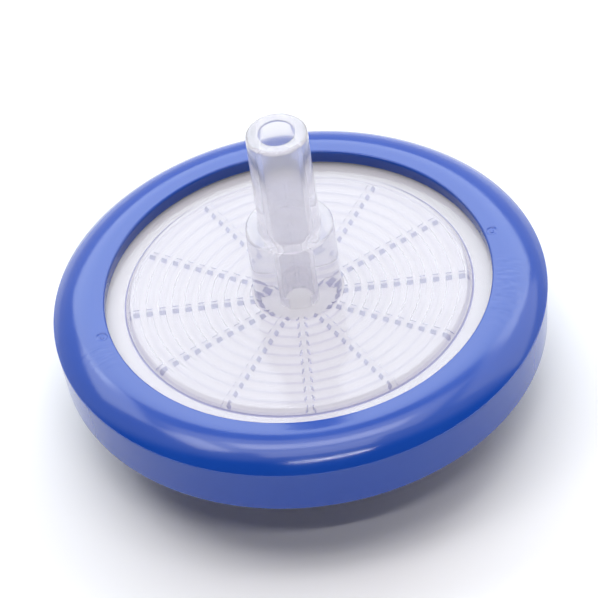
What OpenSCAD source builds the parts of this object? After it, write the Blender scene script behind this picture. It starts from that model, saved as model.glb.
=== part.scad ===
// In-line disc filter: a membrane clamped between two clear moulded housings
// that are welded at their rims and held in an overmoulded ring. The upper
// housing has a stepped hose port, the lower one a female Luer lock socket.
// Millimetres. The flow axis is Z, and z = 0 is the mouth of the Luer socket.

/* [Ring] */
// Outside diameter of the ring, which is the filter's overall width
ring_d = 74.2; // [60:0.5:90]
// Height of the ring
ring_h = 11.1; // [9.4:0.1:14]
// Ring material outside the rims of the housings
ring_wall = 5.1; // [4:0.1:7]
// Radius of the upper shoulder, which ends at the parting line
shoulder_r = 8; // [5:0.1:9]
// How far the wall draws in from the parting line down to the heel
wall_draw = 0.6; // [0.1:0.05:1]
// Rounding of the lower outer edge
heel_r = 1; // [0.5:0.1:2]
// Rounding of the inner edges of both lips
lip_edge_r = 0.4; // [0.2:0.05:0.6]
// Height of the upper lip above the rim it covers
lip_h = 2; // [1.2:0.1:3]
// How far the upper lip reaches in over the rim
lip_w = 2.95; // [2:0.05:4]
// How deep the lower housing's face lies inside the ring
base_recess = 2.7; // [1:0.1:3.5]
// Width of the coring groove in the ring's underside
core_w = 3.6; // [2:0.1:5]
// Ring material between the coring groove and the rim above it
core_roof = 2; // [1.5:0.1:3]
// Ledge where the two mould halves of the ring meet
parting_step = 0.05; // [0.02:0.01:0.2]
// Diameter of the dimple at each injection gate
gate_d = 1.8; // [1.2:0.1:2.4]
// Depth of the gate dimple
gate_depth = 0.25; // [0.1:0.05:0.5]
// Diameter of the broken-off gate stub inside the dimple
gate_stub_d = 0.8; // [0.4:0.1:1]
// Height of the gate stub above the dimple's floor
gate_stub_h = 0.2; // [0.1:0.05:0.4]
// Direction of the first gate, the second is opposite
gate_angle = 12; // [0:1:180]

/* [Seal] */
// Width of the rims from the chamber wall to their outer edge
seal_w = 6.6; // [5.5:0.1:8]
// Width of the weld band outside the membrane
weld_w = 2.3; // [1.9:0.1:3]
// Width of the weld tongue
tongue_w = 0.7; // [0.4:0.05:0.9]
// Depth of the weld tongue below the joint
tongue_h = 0.7; // [0.4:0.05:1.2]
// Clearance round the weld tongue
tongue_clear = 0.05; // [0.02:0.01:0.1]
// Thickness of the membrane with its backing
membrane_t = 0.2; // [0.1:0.05:0.4]
// Clearance round the edge of the membrane
membrane_clear = 0.1; // [0.05:0.05:0.3]

/* [Upper housing] */
// Thickness of the plate over the chamber
plate_t = 1.2; // [1:0.1:2]
// Height of the plate's face above the rim's face
plate_rise = 1; // [0.4:0.1:1.3]
// Width of the sloped edge that leads from the plate down to the rim
plate_slope_w = 0.6; // [0.4:0.1:1]

/* [Ribs] */
// Width of each concentric rib
rib_w = 1; // [0.7:0.05:1.5]
// Gap between neighbouring ribs
rib_gap = 0.95; // [0.7:0.05:1.5]
// Gap between the outermost rib and the chamber wall
rib_edge_gap = 0.45; // [0.3:0.05:1]
// Height of the ribs that carry the membrane
rib_h = 0.9; // [0.6:0.1:1.5]
// Number of radial channels cut through the ribs
channel_n = 12; // [4:1:18]
// Width of each radial channel at half its depth
channel_w = 1.1; // [0.7:0.1:1.6]
// How far each rib end leans back from its root to its tip
rib_end_draft = 0.25; // [0.05:0.05:0.3]
// Gap between the lower ribs and the membrane
rib_relief = 0.3; // [0.2:0.05:0.5]

/* [Hose port] */
// Diameter of the port's wide step, for the larger hose
collar_d = 13.2; // [11:0.1:16]
// Height of the wide step above the plate
collar_h = 13.2; // [8:0.1:18]
// Diameter of the tube, for the smaller hose
tube_d = 9.2; // [8.6:0.1:10]
// Length of the tube above the wide step
tube_l = 18.2; // [12:0.1:25]
// Bore of the tube
lumen_d = 5.4; // [5:0.1:6.6]
// How far the bore runs down into the wide step
lumen_sink = 1; // [0.5:0.1:4]
// Narrow bore from the chamber up to the tube
throat_d = 4.6; // [3:0.1:4.8]
// Fillet at the foot of each port
foot_r = 0.6; // [0.3:0.05:1]
// Fillet where a narrow step stands on a wide one
step_fillet_r = 0.3; // [0.15:0.05:0.5]
// Rounding of the edge of each wide step
step_edge_r = 0.5; // [0.2:0.05:0.8]
// Rounding of the outer edge of the tube's lip
lip_round_r = 0.6; // [0.3:0.05:0.9]
// Rounding of the inner edge of the tube's lip
mouth_round_r = 0.25; // [0.1:0.05:0.5]

/* [Lower housing] */
// Thickness of the lower housing's floor
base_t = 1.6; // [1.2:0.1:2.2]
// Thickness of the lower housing's side wall
base_wall = 2; // [1.2:0.1:2.6]
// Thickness of the lower housing's rim
base_rim_t = 2; // [1.6:0.1:2.4]

/* [Luer socket] */
// Diameter of the wide step under the floor
boss_d = 13.2; // [11:0.1:16]
// Height of the wide step under the floor
boss_h = 3.5; // [2:0.1:5]
// Outside diameter of the socket
hub_d = 6.7; // [6.4:0.05:6.8]
// Length of the socket below the wide step
hub_l = 10.5; // [9.5:0.1:14]
// Diameter of the socket's bore at its mouth
luer_mouth_d = 4.3; // [4.27:0.01:4.32]
// Depth of the tapered bore
luer_depth = 8.5; // [7.5:0.1:9.4]
// Taper of the bore, as change of diameter over length
luer_taper = 0.06; // [0.05:0.01:0.07]
// Diameter of the feed hole from the socket to the chamber
feed_d = 2.5; // [1.5:0.1:3]
// Diameter across the two locking lugs
lug_d = 7.8; // [7.7:0.01:7.9]
// Width of each lug
lug_w = 3.4; // [2.4:0.1:4]
// Thickness of each lug along the axis
lug_t = 1.1; // [0.8:0.1:1.4]

/* [Hidden] */
$fn = 128;
past = 1; // how far a cutter runs past the face it opens
root = 0.3; // how deep a rib is rooted in its plate

// radii, from the outside in
ring_r = ring_d / 2;
underside_r = ring_r - wall_draw;
rim_r = ring_r - ring_wall;
window_r = rim_r - lip_w;
chamber_r = rim_r - seal_w;
dish_r = chamber_r + base_wall;
pocket_r = rim_r - weld_w;
membrane_r = pocket_r - membrane_clear;
tongue_r = rim_r - weld_w / 2;

// heights, from the mouth of the socket up
base_z = hub_l + boss_h;
ring_z = base_z - base_recess;
rim_t = plate_t + rib_h - plate_rise;
ring_top_z = ring_z + ring_h;
joint_z = ring_top_z - lip_h - rim_t;
plate_z = joint_z + rib_h + plate_t;
collar_z = plate_z + collar_h;
tube_z = collar_z + tube_l;
lumen_z = collar_z - lumen_sink;
throat_z = lumen_z - (lumen_d - throat_d) / 2;
floor_z = base_z + base_t;

// ribs
rib_pitch = rib_w + rib_gap;
rib_outer_r = chamber_r - rib_edge_gap;
rib_n = floor((rib_outer_r - throat_d / 2 - rib_gap) / rib_pitch);

// Area between a square corner at [x, y] and the arc that rounds it, in the
// quadrant given by the signs sx and sy.
module corner(x, y, r, sx, sy) {
    translate([x, y])
        difference() {
            translate([min(0, sx * r), min(0, sy * r)]) square(r);
            translate([sx * r, sy * r]) circle(r);
        }
}

// Rectangle in the half-plane of a profile, from radius r1 to r2 and z1 to z2.
module band(r1, r2, z1, z2) {
    translate([r1, z1]) square([r2 - r1, z2 - z1]);
}

// Concentric ribs from z1 to z2, cut by the radial channels. Every nth ring
// position carries a rib, and root_dir says on which side the plate is.
module ribs(z1, z2, nth, root_dir) {
    foot = root_dir < 0 ? z1 - root : z1;
    head = root_dir > 0 ? z2 + root : z2;
    lean = root_dir * rib_end_draft / 2;
    difference() {
        rotate_extrude()
            for (i = [0 : nth : rib_n - 1])
                band(rib_outer_r - i * rib_pitch - rib_w, rib_outer_r - i * rib_pitch, foot, head);
        for (i = [0 : channel_n - 1])
            rotate(i * 360 / channel_n)
                translate([0, 0, z1])
                    rotate([90, 0, 90])
                        linear_extrude(chamber_r)
                            polygon([
                                [-channel_w / 2 - lean, 0],
                                [channel_w / 2 + lean, 0],
                                [channel_w / 2 - lean, z2 - z1],
                                [-channel_w / 2 + lean, z2 - z1],
                            ]);
    }
}

module upper_outline() {
    band(0, rim_r, joint_z, joint_z + rim_t);
    polygon([
        [0, joint_z + rim_t],
        [chamber_r + plate_slope_w, joint_z + rim_t],
        [chamber_r, plate_z],
        [0, plate_z],
    ]);
    band(0, collar_d / 2, plate_z, collar_z);
    band(0, tube_d / 2, collar_z, tube_z);
    corner(collar_d / 2, plate_z, foot_r, 1, 1);
    corner(tube_d / 2, collar_z, step_fillet_r, 1, 1);
    band(tongue_r - tongue_w / 2, tongue_r + tongue_w / 2, joint_z - tongue_h, joint_z);
}

module upper_hollows() {
    band(0, chamber_r, joint_z - past, joint_z + rib_h);
    band(0, throat_d / 2, joint_z, throat_z);
    polygon([[0, throat_z], [throat_d / 2, throat_z], [lumen_d / 2, lumen_z], [0, lumen_z]]);
    band(0, lumen_d / 2, lumen_z, tube_z + past);
    corner(collar_d / 2, collar_z, step_edge_r, -1, -1);
    corner(tube_d / 2, tube_z, lip_round_r, -1, -1);
    corner(lumen_d / 2, tube_z, mouth_round_r, 1, -1);
}

module upper_housing() {
    color([0.9, 0.92, 0.96, 0.45]) {
        rotate_extrude()
            difference() {
                upper_outline();
                upper_hollows();
            }
        ribs(joint_z, joint_z + rib_h, 1, 1);
    }
}

module lower_outline() {
    band(0, rim_r, joint_z - base_rim_t, joint_z);
    band(0, dish_r, base_z, joint_z);
    band(0, boss_d / 2, hub_l, base_z);
    band(0, hub_d / 2, 0, hub_l);
    corner(boss_d / 2, base_z, foot_r, 1, -1);
    corner(hub_d / 2, hub_l, step_fillet_r, 1, -1);
}

module lower_hollows() {
    luer_end_d = luer_mouth_d - luer_depth * luer_taper;
    band(0, pocket_r, joint_z - membrane_t, joint_z + past);
    band(0, chamber_r, floor_z, joint_z);
    translate([0, -tongue_clear])
        band(
            tongue_r - tongue_w / 2 - tongue_clear,
            tongue_r + tongue_w / 2 + tongue_clear,
            joint_z - tongue_h,
            joint_z + past
        );
    band(0, feed_d / 2, luer_depth, floor_z);
    polygon([[0, 0], [luer_mouth_d / 2, 0], [luer_end_d / 2, luer_depth], [0, luer_depth]]);
    corner(boss_d / 2, hub_l, step_edge_r, -1, 1);
}

module lugs() {
    difference() {
        intersection() {
            cylinder(d = lug_d, h = lug_t);
            translate([-lug_d / 2, -lug_w / 2, 0]) cube([lug_d, lug_w, lug_t]);
        }
        translate([0, 0, -past]) cylinder(d = (hub_d + luer_mouth_d) / 2, h = lug_t + 2 * past);
    }
}

module lower_housing() {
    color([0.9, 0.92, 0.96, 0.45]) {
        rotate_extrude()
            difference() {
                lower_outline();
                lower_hollows();
            }
        lugs();
        ribs(floor_z, joint_z - membrane_t - rib_relief, 2, -1);
    }
}

module membrane() {
    color([0.97, 0.97, 0.95])
        translate([0, 0, joint_z - membrane_t])
            cylinder(r = membrane_r, h = membrane_t);
}

module ring_outline() {
    edge_r = ring_r - parting_step;
    drop = min(shoulder_r, ring_top_z - joint_z);
    shoulder_x = edge_r - sqrt(pow(shoulder_r, 2) - pow(shoulder_r - drop, 2));
    // upper mould half, from the flat top over the shoulder to the parting line
    intersection() {
        band(0, edge_r, joint_z, ring_top_z);
        union() {
            band(0, shoulder_x, joint_z, ring_top_z);
            translate([shoulder_x, ring_top_z - shoulder_r]) circle(shoulder_r);
            band(0, edge_r, joint_z - past, ring_top_z - drop);
        }
    }
    // lower mould half
    polygon([
        [0, ring_z],
        [underside_r, ring_z],
        [underside_r, ring_z + heel_r],
        [ring_r, joint_z],
        [0, joint_z],
    ]);
}

module ring_hollows() {
    core_r = (dish_r + underside_r) / 2;
    band(0, window_r, joint_z, ring_top_z + past);
    band(0, rim_r, joint_z - base_rim_t, joint_z + rim_t);
    band(0, dish_r, ring_z - past, joint_z);
    band(core_r - core_w / 2, core_r + core_w / 2, ring_z - past, joint_z - base_rim_t - core_roof);
    corner(window_r, ring_top_z, lip_edge_r, 1, -1);
    corner(dish_r, ring_z, lip_edge_r, 1, 1);
    corner(underside_r, ring_z, heel_r, -1, 1);
}

module gate_marks() {
    gate_r = window_r + lip_edge_r + gate_d / 2;
    for (turn = [0, 180])
        rotate(gate_angle + turn)
            translate([gate_r, 0, ring_top_z - gate_depth])
                difference() {
                    cylinder(d = gate_d, h = gate_depth + past);
                    translate([0, 0, -past]) cylinder(d = gate_stub_d, h = gate_stub_h + past);
                }
}

module overmould_ring() {
    color([0.13, 0.27, 0.75])
        difference() {
            rotate_extrude()
                difference() {
                    ring_outline();
                    ring_hollows();
                }
            gate_marks();
        }
}

upper_housing();
lower_housing();
membrane();
overmould_ring();
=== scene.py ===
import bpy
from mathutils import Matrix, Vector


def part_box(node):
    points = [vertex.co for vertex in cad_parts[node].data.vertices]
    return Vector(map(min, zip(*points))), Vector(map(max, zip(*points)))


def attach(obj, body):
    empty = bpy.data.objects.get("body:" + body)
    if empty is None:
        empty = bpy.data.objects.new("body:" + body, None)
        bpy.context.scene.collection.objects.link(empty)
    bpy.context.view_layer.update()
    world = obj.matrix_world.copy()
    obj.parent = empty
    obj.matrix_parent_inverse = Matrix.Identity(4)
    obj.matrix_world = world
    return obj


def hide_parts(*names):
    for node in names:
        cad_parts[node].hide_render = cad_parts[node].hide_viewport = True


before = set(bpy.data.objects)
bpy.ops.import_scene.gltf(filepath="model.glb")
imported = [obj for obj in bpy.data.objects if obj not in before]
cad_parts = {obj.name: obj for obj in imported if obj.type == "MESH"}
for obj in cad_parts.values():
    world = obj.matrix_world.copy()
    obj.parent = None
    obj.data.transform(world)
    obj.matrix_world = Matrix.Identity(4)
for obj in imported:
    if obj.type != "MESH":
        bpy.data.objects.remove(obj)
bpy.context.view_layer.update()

import math

import bpy
import numpy as np
from mathutils import Matrix, Vector

mm = 0.001
seam = 0.0005 * mm  # points closer than this are one point


def linearColour(hexCode):  # sRGB hex to the linear colour that nodes take
    channels = [int(hexCode[i : i + 2], 16) / 255 for i in (0, 2, 4)]
    return [c / 12.92 if c <= 0.04045 else ((c + 0.055) / 1.055) ** 2.4 for c in channels] + [1]


def addNode(tree, kind, inputs={}, **settings):  # a node with its settings, and with values or links at its inputs
    node = tree.nodes.new(kind)
    for name, value in settings.items():
        setattr(node, name, value)
    for name, value in inputs.items():
        if isinstance(name, int):
            target = node.inputs[name]
        else:
            target = next(socket for socket in node.inputs if socket.name == name and socket.enabled)
        if isinstance(value, bpy.types.Node):
            value = next(socket for socket in value.outputs if socket.enabled)
        if isinstance(value, bpy.types.NodeSocket):
            tree.links.new(value, target)
        else:
            target.default_value = value
    return node


def newMaterial(name):
    material = bpy.data.materials.new(name)
    material.use_nodes = True
    material.node_tree.nodes.clear()
    return material, material.node_tree


def setMaterial(piece, material):
    piece.data.materials.clear()
    piece.data.materials.append(material)


# places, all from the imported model
ringLow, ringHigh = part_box("overmould_ring")
upperLow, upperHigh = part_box("upper_housing")
membraneLow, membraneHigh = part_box("membrane")
jointHeight = membraneHigh.z  # the plane where the two housings meet
print("frame loaded")

# injection-moulded clear polypropylene: glossy and see-through, a little milky where it is thick
clear = {
    "colour": "F4F2F6",  # faint lavender
    "passing": "F1F0F1",  # what one wall takes from the light on its way through
    "ior": 1.32,  # a little low, as the real plate lies in soft light and mirrors less
    "roughness": 0.14,
    "clarity": 0.82,  # the rest scatters as milk
    "waveSize": 4.5,  # mm, slow unevenness of the moulded face
    "waveHeight": 0.002,  # mm
}
thick = {
    "colour": "F8F7FB",
    "ior": 1.16,  # low, because the wall is milky and bends little light cleanly
    "roughness": 0.1,
    "clarity": 0.8,
    "skin": 0.5,  # how strongly the moulded skin shines
    "skinRoughness": 0.12,
    "drawSize": 0.5,  # mm between the faint lines that the core pin drew along the tube
    "drawLength": 16.0,  # mm
    "drawHeight": 0.006,  # mm
}
ribbed = {
    "colour": "F3F2F9",
    "passing": "FAFAFD",
    "ior": 1.06,  # the film lies close against these faces, so they bend the light less
    "roughness": 0.12,
}
# matt clear faces carrying painted shade: the ribs' ends and the line round the foot of the slope
shadeFinish = {
    "colour": "A9A9CF",  # painted shade, grey-blue as if tinted by a reflection of the blue ring, for the ribs' ends and the line round the slope's foot; spark erosion of the mould steel leaves these faces matt
    "passing": "D8D8E8",
    "ior": 1.12,
    "roughness": 0.35,
    "clarity": 0.55,
    "grain": 0.12,  # mm
    "grainHeight": 0.006,  # mm
}


def passLampLight(tree, surface, colour):  # light on its way to what lies behind goes straight through
    path = addNode(tree, "ShaderNodeLightPath").outputs
    straight = addNode(tree, "ShaderNodeMath", {
        0: path["Is Shadow Ray"], 1: path["Is Diffuse Ray"],
    }, operation="MAXIMUM")
    through = addNode(tree, "ShaderNodeBsdfTransparent", {"Color": linearColour(colour)})
    mixed = addNode(tree, "ShaderNodeMixShader", {0: straight, 1: surface, 2: through})
    addNode(tree, "ShaderNodeOutputMaterial", {"Surface": mixed})


def clearPolypropylene():
    material, tree = newMaterial("clear moulded polypropylene")
    place = addNode(tree, "ShaderNodeTexCoord").outputs["Object"]
    wave = addNode(tree, "ShaderNodeTexNoise", {
        "Vector": place, "Scale": 1 / (clear["waveSize"] * mm), "Detail": 2.0,
    })
    relief = addNode(tree, "ShaderNodeBump", {"Height": wave, "Distance": clear["waveHeight"] * mm, "Strength": 1.0})
    shader = addNode(tree, "ShaderNodeBsdfPrincipled", {
        "Base Color": linearColour(clear["colour"]),
        "Roughness": clear["roughness"],
        "IOR": clear["ior"],
        "Transmission Weight": clear["clarity"],
        "Normal": relief,
    })
    passLampLight(tree, shader, clear["passing"])
    return material


def thickPolypropylene():
    material, tree = newMaterial("milky polypropylene of the thick port")
    place = addNode(tree, "ShaderNodeTexCoord").outputs["Object"]
    along = addNode(tree, "ShaderNodeMapping", {
        "Vector": place, "Scale": (1, 1, thick["drawSize"] / thick["drawLength"]),
    })
    drawn = addNode(tree, "ShaderNodeTexNoise", {
        "Vector": along, "Scale": 1 / (thick["drawSize"] * mm), "Detail": 1.0,
    })
    relief = addNode(tree, "ShaderNodeBump", {"Height": drawn, "Distance": thick["drawHeight"] * mm, "Strength": 1.0})
    shader = addNode(tree, "ShaderNodeBsdfPrincipled", {
        "Base Color": linearColour(thick["colour"]),
        "Roughness": thick["roughness"],
        "IOR": thick["ior"],
        "Transmission Weight": thick["clarity"],
        "Coat Weight": thick["skin"],
        "Coat Roughness": thick["skinRoughness"],
        "Normal": relief,
    })
    passLampLight(tree, shader, clear["passing"])
    return material


def ribbedPolypropylene():
    material, tree = newMaterial("clear polypropylene ribs on the film")
    shader = addNode(tree, "ShaderNodeBsdfPrincipled", {
        "Base Color": linearColour(ribbed["colour"]),
        "Roughness": ribbed["roughness"],
        "IOR": ribbed["ior"],
        "Transmission Weight": 1.0,
    })
    passLampLight(tree, shader, ribbed["passing"])
    return material


def paintedShadePolypropylene():
    # painted shade: the grey-blue colour stands in for the shade seen on the ribs' ends and round the slope's foot
    material, tree = newMaterial("matt polypropylene with painted shade")
    place = addNode(tree, "ShaderNodeTexCoord").outputs["Object"]
    grain = addNode(tree, "ShaderNodeTexNoise", {"Vector": place, "Scale": 1 / (shadeFinish["grain"] * mm), "Detail": 1.0})
    relief = addNode(tree, "ShaderNodeBump", {"Height": grain, "Distance": shadeFinish["grainHeight"] * mm, "Strength": 1.0})
    shader = addNode(tree, "ShaderNodeBsdfPrincipled", {
        "Base Color": linearColour(shadeFinish["colour"]),
        "Roughness": shadeFinish["roughness"],
        "IOR": shadeFinish["ior"],
        "Transmission Weight": shadeFinish["clarity"],
        "Normal": relief,
    })
    passLampLight(tree, shader, shadeFinish["passing"])
    return material


# overmoulded blue polypropylene: an even royal blue with a clean gloss and fine handling scratches
ringFinish = {
    "colour": "1141A0",
    "paleColour": "1646A4",
    "roughness": 0.13,
    "hazyRoughness": 0.2,
    "ior": 1.5,
    "cloudSize": 9.0,  # mm
    "cloudRange": (0.35, 0.75),  # of the noise, over which the gloss turns hazy
    "peelSize": 0.9,  # mm, the faint unevenness of the moulded face
    "peelHeight": 0.002,  # mm
    "scratchSize": 0.35,  # mm apart, drawn coarser than real ones so that they show
    "scratchLength": 4.0,  # mm
    "scratchHeight": 2.0,  # how much taller than wide a scratch is on the wall
    "scratchBend": 0.4,
    "scratchRange": (0.72, 0.78),  # of the noise, which keeps only a few lines
    "scratchDepth": 0.002,  # mm
}


def bluePolypropylene():
    material, tree = newMaterial("blue overmoulded polypropylene")
    place = addNode(tree, "ShaderNodeTexCoord").outputs["Object"]
    cloud = addNode(tree, "ShaderNodeTexNoise", {
        "Vector": place, "Scale": 1 / (ringFinish["cloudSize"] * mm), "Detail": 3.0,
    })
    colour = addNode(tree, "ShaderNodeMix", {
        "Factor": cloud, "A": linearColour(ringFinish["colour"]), "B": linearColour(ringFinish["paleColour"]),
    }, data_type="RGBA")
    low, high = ringFinish["cloudRange"]
    gloss = addNode(tree, "ShaderNodeMapRange", {
        "Value": cloud, "From Min": low, "From Max": high,
        "To Min": ringFinish["roughness"], "To Max": ringFinish["hazyRoughness"],
    })
    peel = addNode(tree, "ShaderNodeTexNoise", {
        "Vector": place, "Scale": 1 / (ringFinish["peelSize"] * mm), "Detail": 2.0,
    })
    relief = addNode(tree, "ShaderNodeBump", {
        "Height": peel, "Distance": ringFinish["peelHeight"] * mm, "Strength": 1.0,
    })
    stretch = (ringFinish["scratchSize"] / ringFinish["scratchLength"], 1, 1 / ringFinish["scratchHeight"])
    along = addNode(tree, "ShaderNodeMapping", {"Vector": place, "Scale": stretch})
    scratch = addNode(tree, "ShaderNodeTexNoise", {
        "Vector": along, "Scale": 1 / (ringFinish["scratchSize"] * mm), "Detail": 1.0,
        "Distortion": ringFinish["scratchBend"],
    })
    faint, full = ringFinish["scratchRange"]
    lines = addNode(tree, "ShaderNodeMapRange", {"Value": scratch, "From Min": faint, "From Max": full})
    scored = addNode(tree, "ShaderNodeBump", {
        "Height": lines, "Distance": ringFinish["scratchDepth"] * mm, "Strength": 1.0, "Normal": relief,
    })
    shader = addNode(tree, "ShaderNodeBsdfPrincipled", {
        "Base Color": colour,
        "Roughness": gloss,
        "IOR": ringFinish["ior"],
        "Normal": scored,
    })
    addNode(tree, "ShaderNodeOutputMaterial", {"Surface": shader})
    return material


# stretched PTFE film on a spun fleece: dead matt, white and faintly fibrous
film = {
    "colour": "D9D5D5",
    "fibreColour": "D1CDCD",
    "roughness": 0.85,
    "fibre": 0.25,  # mm between the fleece's fibres, which are finer on a real one
    "fibreHeight": 0.018,  # mm
    "fibreLay": 0.35,  # the pattern's scale along the web, and less draws the fibres out longer
    "fibreBend": 1.2,
    "gap": 0.03,  # mm left to the housings on either face
    "bulge": 0.06,  # mm, how far the film sags between two ribs
    "backBulge": 0.5,  # the share of it that shows on the underside
    "ribPitch": 1.95,  # mm
    "pointsPerRib": 8,
    "outerRib": 24.95,  # mm, radius
    "feed": 3.0,  # mm, radius of the hole over which it lies flat
    "rim": 0.05,  # mm, the rounding of its cut edge
    "flatRim": (26.5, 28.0),  # mm, radii where it lies flat outside the ribs
    "columns": 288,
    "sharpAngle": 35,  # degrees, past which an edge stays sharp
}


def whitePtfe():
    material, tree = newMaterial("stretched PTFE film on fleece")
    place = addNode(tree, "ShaderNodeTexCoord").outputs["Object"]
    along = addNode(tree, "ShaderNodeMapping", {"Vector": place, "Scale": (1, film["fibreLay"], 1)})
    fibres = addNode(tree, "ShaderNodeTexNoise", {
        "Vector": along, "Scale": 1 / (film["fibre"] * mm), "Detail": 3.0, "Distortion": film["fibreBend"],
    })
    colour = addNode(tree, "ShaderNodeMix", {
        "Factor": fibres, "A": linearColour(film["colour"]), "B": linearColour(film["fibreColour"]),
    }, data_type="RGBA")
    relief = addNode(tree, "ShaderNodeBump", {"Height": fibres, "Distance": film["fibreHeight"] * mm, "Strength": 1.0})
    shader = addNode(tree, "ShaderNodeBsdfPrincipled", {
        "Base Color": colour, "Roughness": film["roughness"], "Normal": relief,
    })
    addNode(tree, "ShaderNodeOutputMaterial", {"Surface": shader})
    return material


clearPlastic = clearPolypropylene()
ribbedPlastic = ribbedPolypropylene()
thickPlastic = thickPolypropylene()
paintedShadePlastic = paintedShadePolypropylene()
bluePlastic = bluePolypropylene()
whiteFilm = whitePtfe()
print("materials made")


def arc(centreR, centreZ, size, start, end, steps):  # radius and height of points on an arc, angles in degrees
    turns = [math.radians(start + (end - start) * step / steps) for step in range(steps + 1)]
    return [(centreR + size * math.cos(turn), centreZ + size * math.sin(turn)) for turn in turns]


def smoothBelow(mesh, degrees):  # edges sharper than this stay sharp
    mesh.shade_smooth()
    mesh.set_sharp_from_angle(angle=math.radians(degrees))


def startTree(name, floats):  # a node tree with named inputs
    tree = bpy.data.node_groups.new(name, "GeometryNodeTree")
    kinds = {"Geometry": "NodeSocketGeometry", "Columns": "NodeSocketInt", "Material": "NodeSocketMaterial"}
    for title in ("Geometry", "Columns", "Material") + floats:
        tree.interface.new_socket(name=title, in_out="INPUT", socket_type=kinds.get(title, "NodeSocketFloat"))
    tree.interface.new_socket(name="Geometry", in_out="OUTPUT", socket_type="NodeSocketGeometry")
    return tree, addNode(tree, "NodeGroupInput").outputs


def spreadProfile(tree, given):  # a grid with a row for each point of the profile, and what each row reads from it
    size = addNode(tree, "GeometryNodeAttributeDomainSize", {"Geometry": given["Geometry"]})
    count = size.outputs["Point Count"]
    rows = addNode(tree, "ShaderNodeMath", {0: count, 1: 1.0}, operation="ADD")
    columns = addNode(tree, "ShaderNodeMath", {0: given["Columns"], 1: 1.0}, operation="ADD")
    grid = addNode(tree, "GeometryNodeMeshGrid", {"Vertices X": columns, "Vertices Y": rows})
    index = addNode(tree, "GeometryNodeInputIndex")
    row = addNode(tree, "ShaderNodeMath", {0: index, 1: rows}, operation="FLOORED_MODULO")
    before = addNode(tree, "ShaderNodeMath", {0: index, 1: row}, operation="SUBTRACT")
    column = addNode(tree, "ShaderNodeMath", {0: before, 1: rows}, operation="DIVIDE")
    # the last row reads the first point again
    source = addNode(tree, "ShaderNodeMath", {0: row, 1: count}, operation="FLOORED_MODULO")
    position = addNode(tree, "GeometryNodeInputPosition")
    extra = addNode(tree, "GeometryNodeInputNamedAttribute", {"Name": "extra"}, data_type="FLOAT_VECTOR")
    read = []
    for value in (position, extra):
        sample = addNode(tree, "GeometryNodeSampleIndex", {
            "Geometry": given["Geometry"], "Value": value, "Index": source,
        }, data_type="FLOAT_VECTOR", domain="POINT")
        read.append(addNode(tree, "ShaderNodeSeparateXYZ", {0: sample}).outputs)
    return grid.outputs["Mesh"], column, read[0]["X"], read[0]["Z"], read[1]


def closeTurned(tree, given, surface, radius, height, angle):  # turns the rows to their angles and closes the seams
    flat = addNode(tree, "ShaderNodeCombineXYZ", {"X": radius, "Z": height})
    place = addNode(tree, "ShaderNodeVectorRotate", {"Vector": flat, "Angle": angle}, rotation_type="Z_AXIS")
    shaped = addNode(tree, "GeometryNodeSetPosition", {"Geometry": surface, "Position": place})
    closed = addNode(tree, "GeometryNodeMergeByDistance", {"Geometry": shaped, "Distance": seam})
    real = addNode(tree, "GeometryNodeRealizeInstances", {"Geometry": closed})
    done = addNode(tree, "GeometryNodeSetMaterial", {"Geometry": real, "Material": given["Material"]})
    addNode(tree, "NodeGroupOutput", {"Geometry": done})


def startPiece(name, profile, extra):  # the points of a profile, each with a vector for the tree to read
    mesh = bpy.data.meshes.new(name)
    mesh.from_pydata([(r, 0, z) for r, z in profile], [], [])
    attribute = mesh.attributes.new("extra", "FLOAT_VECTOR", "POINT")
    attribute.data.foreach_set("vector", np.asarray(extra, dtype=np.float32).ravel())
    piece = bpy.data.objects.new(name, mesh)
    bpy.context.scene.collection.objects.link(piece)
    return piece


def growMesh(piece, tree, values):  # runs the tree on the piece and keeps the result as its plain mesh
    modifier = piece.modifiers.new("shape", "NODES")
    modifier.node_group = tree
    sockets = {item.name: item.identifier for item in tree.interface.items_tree if item.in_out == "INPUT"}
    for name, value in values.items():
        modifier[sockets[name]] = value
    bpy.context.view_layer.update()
    grown = bpy.data.meshes.new_from_object(piece.evaluated_get(bpy.context.evaluated_depsgraph_get()))
    piece.modifiers.clear()
    piece.data = grown
    grown.name = piece.name
    setMaterial(piece, values["Material"])  # without the grid's own empty slot
    grown.polygons.foreach_set("material_index", np.zeros(len(grown.polygons), dtype=np.int32))
    print(piece.name, "made:", len(grown.polygons), "faces")
    return grown


def turnProfile(name, profile, columns, material):  # turns a closed profile, given as radius and height in mm
    angles = np.linspace(0, 2 * math.pi, columns, endpoint=False)
    verts, index = [], {}
    for row, (r, z) in enumerate(profile):
        for column, angle in enumerate(angles):
            if r > 0 or column == 0:  # a row on the axis is one point
                verts.append((r * math.cos(angle) * mm, r * math.sin(angle) * mm, z * mm))
            index[row, column] = len(verts) - 1
    faces = []
    for row in range(len(profile)):
        above = (row + 1) % len(profile)
        for column in range(columns):
            beside = (column + 1) % columns
            corners = [index[row, column], index[row, beside], index[above, beside], index[above, column]]
            corners = list(dict.fromkeys(corners))
            if len(corners) > 2:
                faces.append(corners)
    mesh = bpy.data.meshes.new(name)
    mesh.from_pydata(verts, [], faces)
    smoothBelow(mesh, film["sharpAngle"])
    piece = bpy.data.objects.new(name, mesh)
    bpy.context.scene.collection.objects.link(piece)
    setMaterial(piece, material)
    return piece


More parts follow.
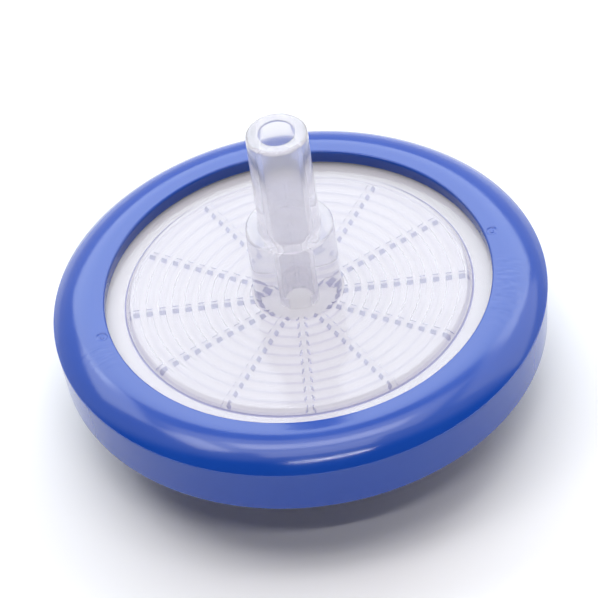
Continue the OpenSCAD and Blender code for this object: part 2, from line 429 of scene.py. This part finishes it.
def makeMembrane():
    top, low = membraneHigh.z / mm - film["gap"], membraneLow.z / mm + film["gap"]
    edge, rim = membraneHigh.x / mm - film["gap"], film["rim"]
    pitch, outerRib = film["ribPitch"], film["outerRib"]
    radii = np.arange(0, outerRib + pitch / 4, pitch / film["pointsPerRib"])
    radii = np.concatenate([radii, film["flatRim"], [edge - rim]])
    phase = 2 * math.pi * (outerRib - radii) / pitch
    belowRibs = (radii > film["feed"]) & (radii < outerRib)
    sag = film["bulge"] * (1 - np.sin(phase)) / 2 * belowRibs
    upperFace = [(r, top - s) for r, s in zip(radii, sag)]
    lowerFace = [(r, low - film["backBulge"] * s) for r, s in zip(radii, sag)]
    profile = lowerFace + [(edge, low + rim), (edge, top - rim)] + upperFace[::-1]
    piece = turnProfile("ptfe_membrane", profile, film["columns"], whiteFilm)
    print("membrane made")
    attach(piece, "root")
    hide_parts("membrane")


makeMembrane()

# blue ring: its profile turned round the axis by geometry nodes, with gates, flow ripples and sink in the mesh
ringShape = {  # mm unless said
    "columns": 640,
    "window": 29.05,
    "rim": 31.97,  # where it meets the clear rims, which it bites a little, as its melt bonds to them
    "bond": 0.03,
    "rimAbove": 1.1,
    "rimBelow": 2.0,
    "edgeRound": 0.4,
    "shoulder": 8.0,
    "partingDrop": 3.1,
    "partingStep": 0.05,
    "partingBevel": (0.012, 0.02),  # in radius and in height
    "draft": 0.6,
    "heel": 1.0,
    "dish": 27.42,
    "grooveIn": 30.15,
    "grooveOut": 33.75,
    "grooveDepth": 4.0,
    "lip": 0.2,
    "lipCorner": 0.3,  # share of the lip at which its middle point lies
    "topSteps": 18,
    "shoulderSteps": 49,
    "wallRows": (0.08, 0.95, 7),  # where the wall's rows of points start and end, as shares of it, and their number
    "crowding": 0.72,  # how much closer the columns stand near the gates
    "gateAngle": 12.0,  # degrees, and another gate lies across the axis
    "gateRadius": 30.35,
    "gateFloor": 0.73,
    "gateSize": 0.85,
    "gateDepth": 0.1,
    "stubCore": 0.27,
    "stubSize": 0.38,
    "stubHeight": 0.09,
    "ripples": {"right": (-25.0, 9.5, 1.0), "left": (-172.5, 5.0, 0.4)},  # degrees from the gate, reach, strength
    "rippleCore": 0.35,  # the share of a patch's reach that has them in full
    "rippleBand": (0, 1.2, 4.05, 5.45),  # outwards from the window, where they rise and where they fade
    "rippleRadius": 31.8,
    "rippleSize": 0.4,
    "rippleStretch": 0.16,  # the ripples lie across the way the melt ran, so they are long across the ring
    "rippleHeight": 0.24,
    "sinkSize": 11.0,
    "sinkHeight": 0.012,
    "upward": 0.3,  # faces that look up more than this carry the marks
    "seed": 7.0,
    "sharpAngle": 40,  # degrees
}


def ringProfile():
    shape = ringShape
    top, low, outer = ringHigh.z / mm, ringLow.z / mm, ringHigh.x / mm
    window, rim, bond, edge = shape["window"], shape["rim"], shape["bond"], shape["edgeRound"]
    shoulder, heel, lip, dish = shape["shoulder"], shape["heel"], shape["lip"], shape["dish"]
    parting, step = top - shape["partingDrop"], shape["partingStep"]
    bevelR, bevelZ = shape["partingBevel"]
    underside = outer - shape["draft"]
    above, below = parting + shape["rimAbove"] - bond, parting - shape["rimBelow"] + bond
    centre = outer - step - math.sqrt(shoulder**2 - (shoulder - shape["partingDrop"]) ** 2)
    last = math.degrees(math.acos((outer - step - centre) / shoulder))
    points = [(window, above), (window, above + 2 * edge)]
    points += arc(window + edge, top - edge, edge, 180, 90, 8)
    points += [(r, top) for r in np.linspace(window + edge, centre, shape["topSteps"])[1:-1]]
    points += arc(centre, top - shoulder, shoulder, 90, last, shape["shoulderSteps"])
    points += [(outer - bevelR, parting), (outer, parting - bevelZ)]
    wall = parting - low - heel
    points += [(outer - shape["draft"] * share, parting - share * wall) for share in np.linspace(*shape["wallRows"])]
    points += arc(underside - heel, low + heel, heel, 0, -90, 10)
    corner = shape["lipCorner"] * lip
    outside, inside, roof = shape["grooveOut"], shape["grooveIn"], low + shape["grooveDepth"]
    points += [(outside + lip, low), (outside + corner, low + corner), (outside, low + lip)]
    points += [(outside, roof - lip), (outside - corner, roof - corner), (outside - lip, roof)]
    points += [(inside + lip, roof), (inside + corner, roof - corner), (inside, roof - lip)]
    points += [(inside, low + lip), (inside - corner, low + corner), (inside - lip, low)]
    points += arc(dish + edge, low + edge, edge, -90, -180, 6)
    points += [(dish, below), (rim, below), (rim, above)]
    return points[::-1]  # so that the faces point outwards


def ringTree():
    tree, given = startTree("turned ring", (
        "Crowding", "Gate Angle", "Gate Radius", "Gate Floor", "Gate Size", "Gate Depth", "Stub Core", "Stub Size",
        "Stub Height", "Ripple Radius", "Ripple Size", "Ripple Stretch", "Ripple Height", "Sink Size", "Sink Height",
        "Seed",
    ))
    surface, column, radius, height, outward = spreadProfile(tree, given)
    # the columns crowd towards the two gates
    even = addNode(tree, "ShaderNodeMapRange", {"Value": column, "From Max": given["Columns"], "To Max": 2 * math.pi})
    fromGate = addNode(tree, "ShaderNodeMath", {0: even, 1: given["Gate Angle"]}, operation="SUBTRACT")
    twice = addNode(tree, "ShaderNodeMath", {0: fromGate, 1: 2.0}, operation="MULTIPLY")
    swing = addNode(tree, "ShaderNodeMath", {0: twice}, operation="SINE")
    reach = addNode(tree, "ShaderNodeMath", {0: given["Crowding"], 1: -0.5}, operation="MULTIPLY")
    turned = addNode(tree, "ShaderNodeMath", {0: swing, 1: reach, 2: fromGate}, operation="MULTIPLY_ADD")
    angle = addNode(tree, "ShaderNodeMath", {0: turned, 1: given["Gate Angle"]}, operation="ADD")
    # gates: a dimple with the broken stub in it, folded so that both sides of the axis get one
    flat = addNode(tree, "ShaderNodeCombineXYZ", {"X": radius})
    spot = addNode(tree, "ShaderNodeVectorRotate", {"Vector": flat, "Angle": turned}, rotation_type="Z_AXIS")
    folded = addNode(tree, "ShaderNodeVectorMath", {0: spot}, operation="ABSOLUTE")
    gateCentre = addNode(tree, "ShaderNodeCombineXYZ", {"X": given["Gate Radius"]})
    away = addNode(tree, "ShaderNodeVectorMath", {0: folded, 1: gateCentre}, operation="DISTANCE")
    dimple = addNode(tree, "ShaderNodeMapRange", {
        "Value": away, "From Min": given["Gate Floor"], "From Max": given["Gate Size"],
        "To Min": given["Gate Depth"], "To Max": 0.0,
    }, interpolation_type="SMOOTHSTEP")
    stub = addNode(tree, "ShaderNodeMapRange", {
        "Value": away, "From Min": given["Stub Core"], "From Max": given["Stub Size"],
        "To Min": given["Stub Height"], "To Max": 0.0,
    }, interpolation_type="SMOOTHSTEP")
    gate = addNode(tree, "ShaderNodeMath", {0: stub, 1: dimple}, operation="SUBTRACT")
    # flow ripples in patches on the flat top, off to one side of each gate
    patches, core = None, ringShape["rippleCore"]
    for turn, size, strength in ringShape["ripples"].values():
        ahead = addNode(tree, "ShaderNodeCombineXYZ", {"X": given["Ripple Radius"]})
        centre = addNode(tree, "ShaderNodeVectorRotate", {
            "Vector": ahead, "Angle": math.radians(turn),
        }, rotation_type="Z_AXIS")
        apart = addNode(tree, "ShaderNodeVectorMath", {0: spot, 1: centre}, operation="DISTANCE")
        patch = addNode(tree, "ShaderNodeMapRange", {
            "Value": apart, "From Min": core * size * mm, "From Max": size * mm, "To Min": strength, "To Max": 0.0,
        }, interpolation_type="SMOOTHSTEP")
        patches = patch if patches is None else addNode(tree, "ShaderNodeMath", {0: patches, 1: patch}, operation="ADD")
    start, full, fade, end = [(ringShape["window"] + step) * mm for step in ringShape["rippleBand"]]
    rising = addNode(tree, "ShaderNodeMapRange", {"Value": radius, "From Min": start, "From Max": full})
    fading = addNode(tree, "ShaderNodeMapRange", {
        "Value": radius, "From Min": fade, "From Max": end, "To Min": 1.0, "To Max": 0.0,
    })
    band = addNode(tree, "ShaderNodeMath", {0: rising, 1: fading}, operation="MULTIPLY")
    across = addNode(tree, "ShaderNodeMath", {0: radius, 1: given["Ripple Stretch"]}, operation="MULTIPLY")
    around = addNode(tree, "ShaderNodeMath", {0: turned, 1: given["Ripple Radius"]}, operation="MULTIPLY")
    flow = addNode(tree, "ShaderNodeCombineXYZ", {"X": across, "Y": around})
    finer = addNode(tree, "ShaderNodeMath", {0: 1.0, 1: given["Ripple Size"]}, operation="DIVIDE")
    noise = addNode(tree, "ShaderNodeTexNoise", {
        "Vector": flow, "W": given["Seed"], "Scale": finer, "Detail": 1.0, "Distortion": 0.7,
    }, noise_dimensions="4D")
    wave = addNode(tree, "ShaderNodeMath", {0: noise, 1: -0.5}, operation="ADD")
    masked = addNode(tree, "ShaderNodeMath", {0: patches, 1: band}, operation="MULTIPLY")
    strength = addNode(tree, "ShaderNodeMath", {0: masked, 1: given["Ripple Height"]}, operation="MULTIPLY")
    marks = addNode(tree, "ShaderNodeMath", {0: wave, 1: strength, 2: gate}, operation="MULTIPLY_ADD")
    # slow sink of the thick wall
    place = addNode(tree, "ShaderNodeVectorRotate", {"Vector": flat, "Angle": angle}, rotation_type="Z_AXIS")
    coarser = addNode(tree, "ShaderNodeMath", {0: 1.0, 1: given["Sink Size"]}, operation="DIVIDE")
    slow = addNode(tree, "ShaderNodeTexNoise", {
        "Vector": place, "W": given["Seed"], "Scale": coarser, "Detail": 0.0,
    }, noise_dimensions="4D")
    swell = addNode(tree, "ShaderNodeMath", {0: slow, 1: -0.5}, operation="ADD")
    lift = addNode(tree, "ShaderNodeMath", {0: swell, 1: given["Sink Height"], 2: marks}, operation="MULTIPLY_ADD")
    onTop = addNode(tree, "ShaderNodeMath", {0: outward["Z"], 1: ringShape["upward"]}, operation="GREATER_THAN")
    push = addNode(tree, "ShaderNodeMath", {0: lift, 1: onTop}, operation="MULTIPLY")
    newRadius = addNode(tree, "ShaderNodeMath", {0: push, 1: outward["X"], 2: radius}, operation="MULTIPLY_ADD")
    newHeight = addNode(tree, "ShaderNodeMath", {0: push, 1: outward["Z"], 2: height}, operation="MULTIPLY_ADD")
    closeTurned(tree, given, surface, newRadius, newHeight, angle)
    return tree


def makeRing():
    profile = np.array(ringProfile()) * mm
    along = np.roll(profile, -1, axis=0) - np.roll(profile, 1, axis=0)
    along /= np.linalg.norm(along, axis=1, keepdims=True)
    outward = np.column_stack([along[:, 1], np.zeros(len(profile)), -along[:, 0]])
    piece = startPiece("blue_ring", profile, outward)
    shape = ringShape
    grown = growMesh(piece, ringTree(), {
        "Columns": shape["columns"],
        "Material": bluePlastic,
        "Crowding": shape["crowding"],
        "Gate Angle": math.radians(shape["gateAngle"]),
        "Gate Radius": shape["gateRadius"] * mm,
        "Gate Floor": shape["gateFloor"] * mm,
        "Gate Size": shape["gateSize"] * mm,
        "Gate Depth": shape["gateDepth"] * mm,
        "Stub Core": shape["stubCore"] * mm,
        "Stub Size": shape["stubSize"] * mm,
        "Stub Height": shape["stubHeight"] * mm,
        "Ripple Radius": shape["rippleRadius"] * mm,
        "Ripple Size": shape["rippleSize"] * mm,
        "Ripple Stretch": shape["rippleStretch"],
        "Ripple Height": shape["rippleHeight"] * mm,
        "Sink Size": shape["sinkSize"] * mm,
        "Sink Height": shape["sinkHeight"] * mm,
        "Seed": shape["seed"],
    })
    smoothBelow(grown, shape["sharpAngle"])
    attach(piece, "root")
    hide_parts("overmould_ring")


makeRing()

# clear upper housing: its profile turned round the axis, with the ribs and their channels under the plate
housingShape = {  # mm unless said
    "columns": 384,
    "channels": 12,
    "channelWidth": 1.1,
    "channelColumns": 2,  # columns on either side of a channel's middle that lie in it
    "endColumns": 5,  # and those up to the far edge of the ribs' leaning ends
    "endLean": 0.42,
    "ribCount": 11,
    "ribOuter": 24.95,
    "ribPitch": 1.95,
    "ribWidth": 1.0,
    "ribHeight": 0.9,
    "ribRound": 0.14,
    "ribCorner": 0.3,  # share of the rounding at which its middle point lies
    "ribDraft": 0.03,
    "innermostRib": 4.4,
    "chamber": 25.4,
    "plateRise": 1.0,
    "slope": 0.6,
    "slopeFoot": 0.4,
    "slopeFootReach": 0.3,
    "slopeBrow": 0.25,
    "slopeAngle": 31,  # degrees
    "rim": 32.0,
    "rimHeight": 1.1,
    "ringWindow": 29.0,
    "flatRim": 28.0,
    "tongueIn": 30.5,
    "tongueOut": 31.2,
    "collar": 6.6,
    "collarHeight": 13.2,
    "collarFoot": 0.6,
    "collarEdge": 0.5,
    "tube": 4.6,
    "tubeFoot": 0.3,
    "tubeLip": 0.6,
    "bore": 2.7,
    "boreEdge": 0.25,
    "throat": 2.3,
    "throatTop": 13.0,
    "cone": 0.4,
    # where the smooth walls get rows of points: radii on the plate, and heights or depths along the others
    "plateRows": (24, 22, 20, 17, 14, 11, 9, 7.8),
    "collarRows": (2, 4, 6, 8, 10, 12),
    "tubeRows": (2, 5, 8, 11, 14, 16.5),
    "boreRows": (2, 5, 8, 11, 14, 17),
    "throatRows": (10, 7, 4, 2),
    "sharpAngle": 35,  # degrees
}
housingFinish = {  # where each finish lies, mm
    "ribsFrom": 3.0,
    "slack": 0.05,
    "steep": 0.45,  # faces that look sideways more than this are the ribs' ends, which carry the painted shade
    "footReach": 0.1,  # the middle of the matt line of painted shade round the foot of the slope
    "footWidth": 0.19,
    "footRise": (0.005, 0.25),
    "portReach": 0.3,
}


def housingProfile():  # radius, height, and how far the point hangs down where a rib is; mm
    shape = housingShape
    joint, top = jointHeight / mm, upperHigh.z / mm
    under, rimTop = joint + shape["ribHeight"], joint + shape["rimHeight"]
    plate = rimTop + shape["plateRise"]
    collarTop = plate + shape["collarHeight"]
    deep, bend, draft = shape["ribHeight"], shape["ribRound"], shape["ribDraft"]
    corner = shape["ribCorner"] * bend
    ribs = []
    for number in reversed(range(shape["ribCount"])):
        outer = shape["ribOuter"] - number * shape["ribPitch"]
        inner, middle = outer - shape["ribWidth"], outer - shape["ribWidth"] / 2
        side = [(0, 0), (draft, deep - bend), (draft + corner, deep - corner), (draft + bend, deep)]
        ribs += [(inner + step, under, drop) for step, drop in side] + [(middle, under, deep)]
        ribs += [(outer - step, under, drop) for step, drop in reversed(side)]
    tongueLow = upperLow.z / mm
    outline = [(shape["chamber"], under), (shape["chamber"], joint), (shape["flatRim"], joint)]
    outline += [(shape["tongueIn"], joint), (shape["tongueIn"], tongueLow)]
    outline += [(shape["tongueOut"], tongueLow), (shape["tongueOut"], joint)]
    outline += [(shape["rim"], joint), (shape["rim"], rimTop), (shape["ringWindow"], rimTop)]
    foot, brow, lean = shape["slopeFoot"], shape["slopeBrow"], shape["slopeAngle"]
    slopeEnd = shape["chamber"] + shape["slope"] + shape["slopeFootReach"]
    outline += arc(slopeEnd, rimTop + foot, foot, 270, 180 + lean, 5)
    outline += arc(shape["chamber"] - brow, plate - brow, brow, lean, 90, 4)
    outline += [(r, plate) for r in shape["plateRows"]]
    foot, edge = shape["collarFoot"], shape["collarEdge"]
    outline += arc(shape["collar"] + foot, plate + foot, foot, 270, 180, 6)
    outline += [(shape["collar"], plate + z) for z in shape["collarRows"]]
    outline += arc(shape["collar"] - edge, collarTop - edge, edge, 0, 90, 6)
    foot, lip = shape["tubeFoot"], shape["tubeLip"]
    outline += arc(shape["tube"] + foot, collarTop + foot, foot, 270, 180, 4)
    outline += [(shape["tube"], collarTop + z) for z in shape["tubeRows"]]
    outline += arc(shape["tube"] - lip, top - lip, lip, 0, 90, 7)
    edge = shape["boreEdge"]
    outline += arc(shape["bore"] + edge, top - edge, edge, 90, 180, 4)
    outline += [(shape["bore"], top - z) for z in shape["boreRows"]]
    shoulder = under + shape["throatTop"]
    outline += [(shape["bore"], shoulder + shape["cone"]), (shape["throat"], shoulder)]
    outline += [(shape["throat"], under + z) for z in shape["throatRows"]]
    return [(shape["throat"], under, 0)] + ribs + [(r, z, 0) for r, z in outline]


def housingTree():
    tree, given = startTree("turned housing", (
        "Sector Columns", "Sector Angle", "Channel Edge", "End Edge", "Channel Reach", "End Reach", "Innermost Rib",
    ))
    surface, column, radius, height, extra = spreadProfile(tree, given)
    # how far a column lies from the nearest channel, as a share of a sector
    sectors = addNode(tree, "ShaderNodeMath", {0: column, 1: given["Sector Columns"]}, operation="DIVIDE")
    nearest = addNode(tree, "ShaderNodeMath", {0: sectors}, operation="ROUND")
    offset = addNode(tree, "ShaderNodeMath", {0: sectors, 1: nearest}, operation="SUBTRACT")
    away = addNode(tree, "ShaderNodeMath", {0: offset}, operation="ABSOLUTE")
    # channels keep their width, so their edges' angle depends on the radius
    inChannel = addNode(tree, "ShaderNodeMapRange", {
        "Value": away, "From Max": given["Channel Edge"], "To Max": given["Channel Reach"],
    })
    onEnd = addNode(tree, "ShaderNodeMapRange", {
        "Value": away, "From Min": given["Channel Edge"], "From Max": given["End Edge"], "To Max": given["End Reach"],
    })
    aside = addNode(tree, "ShaderNodeMath", {0: inChannel, 1: onEnd}, operation="ADD")
    reach = addNode(tree, "ShaderNodeMath", {0: radius, 1: given["Innermost Rib"]}, operation="MAXIMUM")
    share = addNode(tree, "ShaderNodeMath", {0: aside, 1: reach}, operation="DIVIDE")
    edge = addNode(tree, "ShaderNodeMath", {0: share}, operation="ARCSINE")
    half = addNode(tree, "ShaderNodeMath", {0: given["Sector Angle"], 1: 0.5}, operation="MULTIPLY")
    turn = addNode(tree, "ShaderNodeMapRange", {
        "Value": away, "From Min": given["End Edge"], "From Max": 0.5, "To Min": edge, "To Max": half,
    })
    side = addNode(tree, "ShaderNodeMath", {0: offset}, operation="SIGN")
    start = addNode(tree, "ShaderNodeMath", {0: nearest, 1: given["Sector Angle"]}, operation="MULTIPLY")
    angle = addNode(tree, "ShaderNodeMath", {0: turn, 1: side, 2: start}, operation="MULTIPLY_ADD")
    drop = addNode(tree, "ShaderNodeMapRange", {
        "Value": away, "From Min": given["Channel Edge"], "From Max": given["End Edge"], "To Max": extra["X"],
    }, interpolation_type="SMOOTHSTEP")
    hanging = addNode(tree, "ShaderNodeMath", {0: height, 1: drop}, operation="SUBTRACT")
    closeTurned(tree, given, surface, radius, hanging, angle)
    return tree


def dressHousing(piece):  # each face gets its finish by where it lies
    shape, finish = housingShape, housingFinish
    for material in (ribbedPlastic, paintedShadePlastic, thickPlastic):
        piece.data.materials.append(material)
    faces = piece.data.polygons
    centre, normal = np.zeros(len(faces) * 3), np.zeros(len(faces) * 3)
    faces.foreach_get("center", centre)
    faces.foreach_get("normal", normal)
    centre, normal = centre.reshape(-1, 3) / mm, normal.reshape(-1, 3)
    radius = np.hypot(centre[:, 0], centre[:, 1])
    height = centre[:, 2] - jointHeight / mm
    sideways = np.abs(normal[:, 1] * centre[:, 0] - normal[:, 0] * centre[:, 1]) / radius
    slack, port = finish["slack"], finish["portReach"]
    ribs = (radius > finish["ribsFrom"]) & (radius < shape["chamber"] + slack)
    ribs &= (height > -slack) & (height < shape["ribHeight"] + slack)
    foot, rise = shape["chamber"] + shape["slope"] + finish["footReach"], height - shape["rimHeight"]
    low, high = finish["footRise"]
    ribbedSlot, paintedShadeSlot, thickSlot = 1, 2, 3  # as appended above
    slots = np.zeros(len(faces), dtype=np.int32)
    slots[ribs] = ribbedSlot
    # the ribs' ends and a line round the slope's foot get the grey-blue painted shade
    slots[ribs & (sideways > finish["steep"])] = paintedShadeSlot
    slots[(np.abs(radius - foot) < finish["footWidth"]) & (rise > low) & (rise < high)] = paintedShadeSlot
    slots[(radius < shape["collar"] + port) & (rise > shape["plateRise"] + port)] = thickSlot
    faces.foreach_set("material_index", slots)
    piece.data.update()


def makeHousing():
    shape = housingShape
    profile = np.array(housingProfile()) * mm
    drop = np.column_stack([profile[:, 2], np.zeros(len(profile)), np.zeros(len(profile))])
    piece = startPiece("clear_upper_housing", profile[:, :2], drop)
    perSector = shape["columns"] / shape["channels"]
    grown = growMesh(piece, housingTree(), {
        "Columns": shape["columns"],
        "Material": clearPlastic,
        "Sector Columns": perSector,
        "Sector Angle": 2 * math.pi / shape["channels"],
        "Channel Edge": shape["channelColumns"] / perSector,
        "End Edge": shape["endColumns"] / perSector,
        "Channel Reach": (shape["channelWidth"] - shape["endLean"]) / 2 * mm,
        "End Reach": shape["endLean"] * mm,
        "Innermost Rib": shape["innermostRib"] * mm,
    })
    smoothBelow(grown, shape["sharpAngle"])
    dressHousing(piece)
    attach(piece, "root")
    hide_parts("upper_housing")


makeHousing()
setMaterial(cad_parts["lower_housing"], clearPlastic)


def towards(azimuth, elevation):  # a direction as seen from the part, angles in degrees
    a, e = math.radians(azimuth), math.radians(elevation)
    return Vector((math.cos(e) * math.cos(a), math.cos(e) * math.sin(a), math.sin(e)))


def lookFrom(place, direction):  # the matrix of a camera or lamp there that faces against the direction
    return Matrix.Translation(place) @ direction.to_track_quat("Z", "Y").to_matrix().to_4x4()


# the camera looks down on the front, rolled a little
camera = {
    "distance": 0.877,  # m
    "elevation": 43.33,  # degrees
    "azimuth": -88.3,  # degrees
    "roll": 8.15,  # degrees
    "lens": 356,  # mm
    "target": (0.0, -0.0045, 0.0235),  # m
}


def makeCamera():
    direction = towards(camera["azimuth"], camera["elevation"])
    data = bpy.data.cameras.new("camera")
    data.lens = camera["lens"]
    view = bpy.data.objects.new("camera", data)
    roll = Matrix.Rotation(math.radians(-camera["roll"]), 4, "Z")
    view.matrix_world = lookFrom(Vector(camera["target"]) + camera["distance"] * direction, direction) @ roll
    bpy.context.scene.collection.objects.link(view)
    bpy.context.scene.camera = view
    print("camera set")


makeCamera()

# a white room with soft lamps, one end of it unlit
studio = {
    "floorColour": "F5F3F4",
    "floorSide": 12,  # m
    "roomLight": 0.08,  # what the white room adds to every matt surface
    # the unlit end, which reflections see: everything within the half angle, fading over the softness
    "darkSide": {"azimuth": -90, "elevation": -40, "halfAngle": 110, "softness": 14, "level": 0.03},
    "lampDistance": 1.6,  # m
    "lamps": {  # azimuth, elevation, width and height as seen from the part (degrees), brightness, colour
        "overhead": (90, 87, 54, 28, 1.9, "FFFFFF"),
        "overheadCore": (90, 88, 34, 10, 4.0, "FFFFFF"),
        "overheadFront": (-90, 75, 30, 11, 2.4, "FFFFFF"),
        "backWindow": (86, 42, 72, 34, 3.6, "ECF8FF"),  # daylight, a little cool
        "backLeft": (147, 44, 24, 22, 2.9, "F6FCFF"),
        "backRight": (23, 36, 38, 42, 1.5, "FFFFFF"),
        "leftHigh": (-175, 62, 18, 11, 4.6, "FFFFFF"),
        "streak": (-84, 57.5, 24, 2.0, 30.0, "FFFFFF"),
        "frontFill": (-90, 14, 80, 24, 0.8, "FFFFFF"),
    },
}


def makeLamps():
    distance = studio["lampDistance"]
    for name, (azimuth, elevation, wide, high, brightness, colour) in studio["lamps"].items():
        data = bpy.data.lights.new(name, "AREA")
        data.shape = "RECTANGLE"
        data.size = 2 * distance * math.tan(math.radians(wide / 2))
        data.size_y = 2 * distance * math.tan(math.radians(high / 2))
        data.energy = brightness * math.pi * data.size * data.size_y
        data.color = linearColour(colour)[:3]
        lamp = bpy.data.objects.new(name, data)
        direction = towards(azimuth, elevation)
        lamp.matrix_world = lookFrom(Vector((0, 0, ringHigh.z)) + distance * direction, direction)
        lamp.visible_transmission = False  # clear plastic shows the white room instead
        bpy.context.scene.collection.objects.link(lamp)
    print("lamps made")


def makeFloor():
    half = studio["floorSide"] / 2
    mesh = bpy.data.meshes.new("floor")
    mesh.from_pydata([(-half, -half, 0), (half, -half, 0), (half, half, 0), (-half, half, 0)], [], [(0, 1, 2, 3)])
    floor = bpy.data.objects.new("floor", mesh)
    bpy.context.scene.collection.objects.link(floor)
    material, tree = newMaterial("matt paper")
    shader = addNode(tree, "ShaderNodeBsdfDiffuse", {"Color": linearColour(studio["floorColour"])})
    addNode(tree, "ShaderNodeOutputMaterial", {"Surface": shader})
    setMaterial(floor, material)
    print("floor made")


def makeWorld():
    dark = studio["darkSide"]
    world = bpy.data.worlds.new("studio")
    bpy.context.scene.world = world
    world.use_nodes = True
    tree = world.node_tree
    tree.nodes.clear()
    path = addNode(tree, "ShaderNodeLightPath").outputs
    place = addNode(tree, "ShaderNodeTexCoord").outputs["Generated"]
    facing = addNode(tree, "ShaderNodeVectorMath", {
        0: place, 1: towards(dark["azimuth"], dark["elevation"]),
    }, operation="DOT_PRODUCT")
    room = addNode(tree, "ShaderNodeMapRange", {
        "Value": facing,
        "From Min": math.cos(math.radians(dark["halfAngle"])),
        "From Max": math.cos(math.radians(dark["halfAngle"] - dark["softness"])),
        "To Min": 1.0, "To Max": dark["level"],
    }, interpolation_type="SMOOTHSTEP")
    glossy = addNode(tree, "ShaderNodeMath", {0: path["Is Glossy Ray"], 1: room}, operation="MULTIPLY")
    matt = addNode(tree, "ShaderNodeMath", {0: path["Is Diffuse Ray"], 1: studio["roomLight"]}, operation="MULTIPLY")
    straight = addNode(tree, "ShaderNodeMath", {
        0: path["Is Camera Ray"], 1: path["Is Transmission Ray"],
    }, operation="MAXIMUM")
    seen = addNode(tree, "ShaderNodeMath", {0: glossy, 1: straight}, operation="MAXIMUM")
    total = addNode(tree, "ShaderNodeMath", {0: seen, 1: matt}, operation="MAXIMUM")
    sky = addNode(tree, "ShaderNodeBackground", {"Color": linearColour("FFFFFF"), "Strength": total})
    addNode(tree, "ShaderNodeOutputWorld", {"Surface": sky})
    print("world made")


bpy.context.scene.view_settings.view_transform = "Standard"
makeLamps()
makeFloor()
makeWorld()
